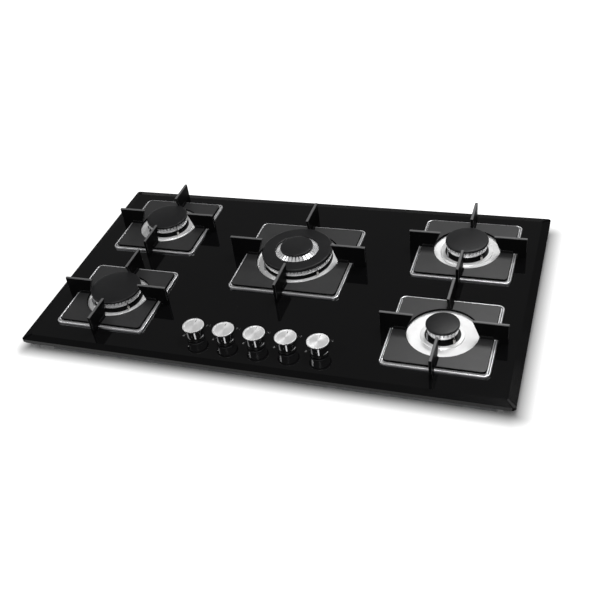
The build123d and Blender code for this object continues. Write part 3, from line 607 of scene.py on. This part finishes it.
def tray_piece(burner):
    """Pressed tray with a rolled rim, a flat floor and a satin dish round the burner."""
    x, y = BURNERS[burner]
    half = TRAY_SIZE[burner] / 2
    well = WELL_RADIUS[burner]
    flat = crown_radius(burner) + WELL_FLAT
    hole = crown_radius(burner) + WELL_HOLE
    count = 160
    dish_lip = 1.92
    dish_steps = 8
    square = square_loop(1.0, 0.0001, count)
    loops = []
    for inset, z in tray_rim():
        loops.append((square_loop(half - inset, TRAY_CORNER - inset, count), z))
    first_dish = len(loops)
    loops.append((circle_like(square, well + 0.6), TRAY_FLOOR))
    for n in range(dish_steps + 1):
        t = n / dish_steps
        level = dish_lip + (TRAY_SHEET - dish_lip) * t
        loops.append((circle_like(square, well + (flat - well) * t), level))
    last_dish = len(loops) - 1
    loops.append((circle_like(square, hole), TRAY_SHEET))
    loops.append((circle_like(square, hole), 0.0))
    loops.append((circle_like(square, flat), 0.0))
    loops.append((circle_like(square, well), 1.2))
    for inset, z in tray_underside():
        loops.append((square_loop(half - inset, TRAY_CORNER - inset, count), z))
    bm = bmesh.new()
    rings = []
    for points, z in loops:
        level = GLASS_TOP + z * MM
        rings.append([bm.verts.new((x + px * MM, y + py * MM, level)) for px, py in points])
    for n, (a, b) in enumerate(zip(rings, rings[1:])):
        for face in join_rings(bm, a, b):
            face.material_index = 1 if first_dish <= n <= last_dish else 0
    join_rings(bm, rings[-1], rings[0])
    piece = new_object("tray_" + burner, bm, TRAY, "cooktop", 50.0)
    piece.data.materials.append(WELL)
    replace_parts(piece, "drip_tray_" + burner)


# ---------------------------------------------------------------- caps
def cap_profile(rim, ring, seat):
    """Domed cap with a rounded rim and a locating ring below."""
    dome = 1.3
    rounding = 1.6
    ring_wall, ring_depth = 2.5, 3.0
    dome_steps = 8
    top = seat + 4.4
    edge = rim - rounding
    points = [(0, seat), (ring - ring_wall, seat), (ring - ring_wall, seat - ring_depth)]
    points += [(ring, seat - ring_depth), (ring, seat), (rim - 0.4, seat), (rim, seat + 0.4)]
    points += arc(edge, top - rounding, rounding, rounding, 0, 85, 6)
    sphere = (edge * edge + dome * dome) / (2 * dome)
    for n in range(dome_steps - 1, -1, -1):
        r = edge * n / dome_steps
        points.append((r, top + dome - sphere + math.sqrt(sphere * sphere - r * r)))
    return points


def ring_cap_profile():
    """Flat ring over the centre burner's outer flames, open in the middle."""
    ring = [(41.0, 20.0), (54.4, 20.0), (54.4, 17.0), (56.9, 17.0), (56.9, 20.0)]
    ring += [(65.6, 20.0), (66.0, 20.4)]
    ring += arc(63.8, 24.2, 2.2, 2.2, 0, 85, 6)
    ring += [(62.0, 26.4), (42.4, 26.4)]
    return ring + arc(42.4, 25.4, 1.4, 1.0, 95, 180, 5)


def cap_piece(name, profile, burner, count, body, node):
    bm = lathe(profile, *BURNERS[burner], GLASS_TOP, count)
    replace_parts(new_object(name, bm, ENAMEL, body), node)


def caps():
    for burner in BURNERS:
        if burner == "c":
            continue
        rim = CAP_RADIUS[burner]
        profile = cap_profile(rim, rim - CAP_RING_INSET, CAP_SEAT)
        cap_piece("cap_" + burner, profile, burner, 128, "cap_" + burner, "burner_cap_" + burner)
    small = cap_profile(SMALL_CAP_RADIUS, SMALL_CAP_RING, SMALL_CAP_SEAT)
    cap_piece("cap_c_small", small, "c", 128, "cap_c_inner", "burner_cap_c_inner")
    cap_piece("cap_c_ring", ring_cap_profile(), "c", 160, "cap_c", "burner_cap_c")


# ---------------------------------------------------------------- knobs
def knob_shell():
    """Chrome body, a little wider at its top: 4.2 mm clear of the glass."""
    low, high, steps = 4.35, 21.9, 6
    thin, wide = 15.8, 17.0
    shell = [(14.5, 4.2), (15.7, 4.2), (thin, low)]
    for n in range(1, steps + 1):
        shell.append((thin + (wide - thin) * n / steps, low + (high - low) * n / steps))
    return shell + [(16.8, 22.1), (15.6, 22.2), (14.5, 18.5), (14.5, 8.0)]


def knob_top():
    """Disc that overhangs the body, with a rounded rim round a sunk face."""
    top = [(0, 19.5), (15.4, 19.5), (15.8, 21.9), (18.4, 21.9)]
    top += arc(18.4, 22.5, 0.6, 0.6, -80, 0, 4)
    top += arc(18.2, 24.2, 0.8, 0.8, 0, 90, 6)
    top += [(17.1, 25.0), (16.7, 24.95), (16.4, 24.6), (16.1, 24.45)]
    return top + [(15.6, 24.4), (8.0, 24.4), (0, 24.4)]


def pointer_mesh(x):
    """Thin bar on the disc's face, towards the rear."""
    half, inner, outer, tip = 0.5, 9.0, 15.2, 15.6
    outline = [(-half, inner), (half, inner), (half, outer), (0.0, tip), (-half, outer)]
    bm = bmesh.new()
    extrude_outline(bm, outline, x, KNOB_Y, GLASS_TOP + 24.3 * MM, GLASS_TOP + 24.46 * MM)
    return bm


def knobs():
    boss = [(0, 7.0), (6.0, 7.0), (6.0, 19.5), (0, 19.5)]
    for number, x in enumerate(KNOB_X, 1):
        name = "knob_%d" % number
        body = "control_%d" % number
        bm = lathe(knob_shell(), x, KNOB_Y, GLASS_TOP, 96)
        new_object(name + "_body", bm, chrome(name + "_chrome"), body)
        bm = lathe(knob_top(), x, KNOB_Y, GLASS_TOP, 96)
        spun = turned_disc(name + "_disc", x, KNOB_Y)
        disc = new_object(name + "_disc", bm, spun, body)
        mark = plastic(name + "_mark", grey(0.20), 0.4)
        new_object(name + "_pointer", pointer_mesh(x), mark, body, 0)
        bm = lathe(boss, x, KNOB_Y, GLASS_TOP, 48)
        inside = plastic(name + "_inside", grey(0.03), 0.5)
        new_object(name + "_boss", bm, inside, body)
        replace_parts(disc, name)


# ---------------------------------------------------------------- printed marks
def flame_outline(cx, cy, size):
    """A plain flame: a drop with its tip to the rear."""
    count = 24
    plump, skew = 0.62, 0.06
    made = []
    for n in range(count):
        a = FULL_TURN * n / count
        squeeze = 0.5 * (1 - math.sin(a)) * plump + skew * math.cos(a)
        made.append((cx + size * squeeze * math.cos(a), cy + size * plump * math.sin(a)))
    return made


def dot_outline(cx, cy, radius):
    count = 16
    made = []
    for n in range(count):
        a = FULL_TURN * n / count
        made.append((cx + radius * math.cos(a), cy + radius * math.sin(a)))
    return made


def printed_marks():
    """Ink round each knob: two flames, an off dot and a map of the burners."""
    low, high = GLASS_TOP - 0.00002, GLASS_TOP + 0.00006
    map_x, map_y, map_step = 12.0, 31.5, 2.8
    spots = {
        "lf": (-1.0, -0.6),
        "lr": (-1.0, 0.6),
        "rr": (1.0, 0.6),
        "rf": (1.0, -0.6),
        "c": (0.0, 0.0),
    }
    bm = bmesh.new()
    for x, burner in zip(KNOB_X, KNOB_BURNER):
        outlines = [
            flame_outline(-22.3, -1.5, 4.4),
            flame_outline(-2.5, -26.5, 3.0),
            dot_outline(3.5, 30.5, 1.0),
        ]
        for name, (sx, sy) in spots.items():
            size = 1.05 if name == burner else 0.45
            outlines.append(dot_outline(map_x + map_step * sx, map_y + map_step * sy, size))
        for outline in outlines:
            extrude_outline(bm, outline, x, KNOB_Y, low, high)
    new_object("printed_marks", bm, INK, "cooktop", 0)


# ---------------------------------------------------------------- CAD nodes that stay
def finish_nodes():
    finishes = {
        "glass_panel": GLASS,
        "worktop_seal": foam(),
        "base_pan": galvanised(),
        "knob_bezels": plastic("bezel_plastic", grey(0.006), 0.35),
        "gas_rail": brushed("rail_steel", (0.50, 0.51, 0.52), 0.32, (1, 0.05, 1)),
        "inlet_fitting": threaded_brass(),
        "supply_tubes": brushed("tube_aluminium", (0.72, 0.72, 0.73), 0.3, (1, 1, 0.05)),
        "injectors": brass("injector_brass"),
        "spark_electrodes": electrode_material(),
        "thermocouples": cast_aluminium("probe_steel", (0.30, 0.30, 0.31), 0.30, 1.0),
        "burner_brackets": galvanised(),
        "ignition_module": plastic("module_plastic", (0.72, 0.72, 0.68), 0.5),
        "worktop_clamps": galvanised(),
        "screws": STEEL,
    }
    tap = brass("tap_brass")
    plug = brass("plug_brass", (0.74, 0.56, 0.28))
    shaft = brushed("spindle_steel", (0.66, 0.66, 0.68), 0.26, (1, 1, 0.04))
    for number in range(1, len(KNOB_X) + 1):
        finishes["tap_body_%d" % number] = tap
        finishes["tap_plug_%d" % number] = plug
        finishes["tap_spindle_%d" % number] = shaft
    for burner in BURNERS:
        finishes["pan_support_" + burner] = IRON
        finishes["burner_crown_" + burner] = CROWN
        finishes["burner_cup_" + burner] = cup_metal(burner)
    for name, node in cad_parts.items():
        if name in finishes:
            node.data.materials.clear()
            node.data.materials.append(finishes[name])


# ---------------------------------------------------------------- stage, light, camera
def floor_material():
    """Pale floor that keeps its shadow and reads white to the camera and in reflections; near the
    glass its glow is cut, which paints a contact shadow there.
    """
    m = Nodes("stage_floor")
    m.tree.nodes.remove(m.bsdf)
    diffuse = m.add("ShaderNodeBsdfDiffuse")
    diffuse.inputs["Color"].default_value = (*grey(0.32), 1)
    glow = m.add("ShaderNodeEmission")
    path = m.add("ShaderNodeLightPath").outputs
    seen = m.math("MAXIMUM", path["Is Camera Ray"], path["Is Glossy Ray"])
    seen = m.math("MAXIMUM", seen, path["Is Transmission Ray"])
    # Painted shadow: the glow is cut close to the glass and comes back over the reach.
    glow_past_painted_shadow = m.ramp(m.outside(*SHADOW_HALF), 0.0, SHADOW_REACH)
    m.link(m.math("MULTIPLY", seen, glow_past_painted_shadow), glow.inputs["Strength"])
    both = m.add("ShaderNodeAddShader")
    m.link(diffuse.outputs["BSDF"], both.inputs[0])
    m.link(glow.outputs["Emission"], both.inputs[1])
    back = m.add("ShaderNodeNewGeometry")
    clear = m.add("ShaderNodeBsdfTransparent")
    side = m.add("ShaderNodeMixShader")
    m.link(back.outputs["Backfacing"], side.inputs["Fac"])
    m.link(both.outputs["Shader"], side.inputs[1])
    m.link(clear.outputs["BSDF"], side.inputs[2])
    m.link(side.outputs["Shader"], m.out.inputs["Surface"])
    return m.mat


def backdrop_material():
    """White to the camera; its reflection fades out with height."""
    m = Nodes("stage_backdrop")
    m.tree.nodes.remove(m.bsdf)
    glow = m.add("ShaderNodeEmission")
    path = m.add("ShaderNodeLightPath").outputs
    fade_start, fade_end, rest = 1.8, 2.9, 0.12
    fade = m.ramp(m.height(), fade_start, fade_end, 1.0, rest)
    mirrored = m.math("MULTIPLY", path["Is Glossy Ray"], fade)
    seen = m.math("MAXIMUM", path["Is Camera Ray"], mirrored)
    seen = m.math("MAXIMUM", seen, path["Is Transmission Ray"])
    m.link(seen, glow.inputs["Strength"])
    m.link(glow.outputs["Emission"], m.out.inputs["Surface"])
    return m.mat


def stage_object(name, bm, material):
    mesh = bpy.data.meshes.new(name)
    bm.to_mesh(mesh)
    bm.free()
    mesh.materials.append(material)
    made = bpy.data.objects.new(name, mesh)
    bpy.context.scene.collection.objects.link(made)
    return made


def rectangle(bm, half_x, half_y, z):
    """Four corners in anticlockwise order, as seen from above."""
    corners = ((-half_x, -half_y), (half_x, -half_y), (half_x, half_y), (-half_x, half_y))
    return [bm.verts.new((x, y, z)) for x, y in corners]


def stage():
    """Floor with a cut-out that the casing hangs through, and a low round backdrop."""
    floor_half = 12.0
    wall_radius, wall_foot, wall_top = 11.5, FLOOR_Z - 0.2, 4.2
    count = 96
    bm = bmesh.new()
    cut_out = rectangle(bm, *CUT_OUT_HALF, FLOOR_Z)
    outer = rectangle(bm, floor_half, floor_half, FLOOR_Z)
    for n in range(4):
        m = (n + 1) % 4
        bm.faces.new((cut_out[n], outer[n], outer[m], cut_out[m]))
    floor = stage_object("stage_floor", bm, floor_material())
    bm = bmesh.new()
    low = []
    high = []
    for n in range(count):
        a = FULL_TURN * n / count
        x, y = wall_radius * math.cos(a), wall_radius * math.sin(a)
        low.append(bm.verts.new((x, y, wall_foot)))
        high.append(bm.verts.new((x, y, wall_top)))
    join_rings(bm, low, high)
    wall = stage_object("stage_backdrop", bm, backdrop_material())


def softbox(name, azimuth, elevation, distance, width, height, power):
    """Area lamp aimed at the glass, with its place in degrees (azimuth from +Y towards +X,
    elevation above the floor) and metres, its size in metres and its power in watts."""
    a, e = math.radians(azimuth), math.radians(elevation)
    ray = Vector((math.sin(a) * math.cos(e), math.cos(a) * math.cos(e), math.sin(e)))
    target = Vector((0, 0, GLASS_TOP))
    place = target + distance * ray
    data = bpy.data.lights.new(name, "AREA")
    data.shape = "RECTANGLE"
    data.size = width
    data.size_y = height
    data.energy = power
    lamp = bpy.data.objects.new(name, data)
    lamp.location = place
    lamp.rotation_mode = "QUATERNION"
    lamp.rotation_quaternion = (target - place).to_track_quat("-Z", "Y")
    lamp.visible_camera = False
    bpy.context.scene.collection.objects.link(lamp)


def light():
    softbox("rear", 20, 56, 2.6, 0.7, 0.5, 20)
    softbox("key", 60, 62, 2.7, 1.2, 1.0, 20)
    softbox("front", 165, 46, 2.8, 0.5, 1.0, 40)
    softbox("left", -105, 45, 2.8, 0.9, 0.9, 14)
    world = bpy.data.worlds.new("studio")
    bpy.context.scene.world = world
    world.use_nodes = True
    background = world.node_tree.nodes["Background"]
    background.inputs["Color"].default_value = (1, 1, 1, 1)
    background.inputs["Strength"].default_value = 0.10


def camera():
    """The photo's viewing angle, from a fit of the glass and tray corners."""
    data = bpy.data.cameras.new("photo_camera")
    data.sensor_width = 36.0
    data.lens = 51.91
    data.shift_x = 0.0667
    data.shift_y = 0.0667
    data.clip_start = 0.05
    data.clip_end = 60.0
    place = Vector((0.5043, -1.176, 1.0147))
    right = Vector((0.93287, 0.33098, -0.14217))
    down = Vector((0.1181, -0.65389, -0.74732))
    ahead = Vector((-0.34031, 0.68036, -0.64908))
    turn = Matrix((right, -down, -ahead)).transposed().to_4x4()
    cam = bpy.data.objects.new("photo_camera", data)
    cam.matrix_world = Matrix.Translation(place) @ turn
    bpy.context.scene.collection.objects.link(cam)
    bpy.context.scene.camera = cam


finish_nodes()
for name in BURNERS:
    tray_piece(name)
caps()
knobs()
printed_marks()
stage()
light()
camera()
bpy.context.scene.view_settings.view_transform = "Standard"
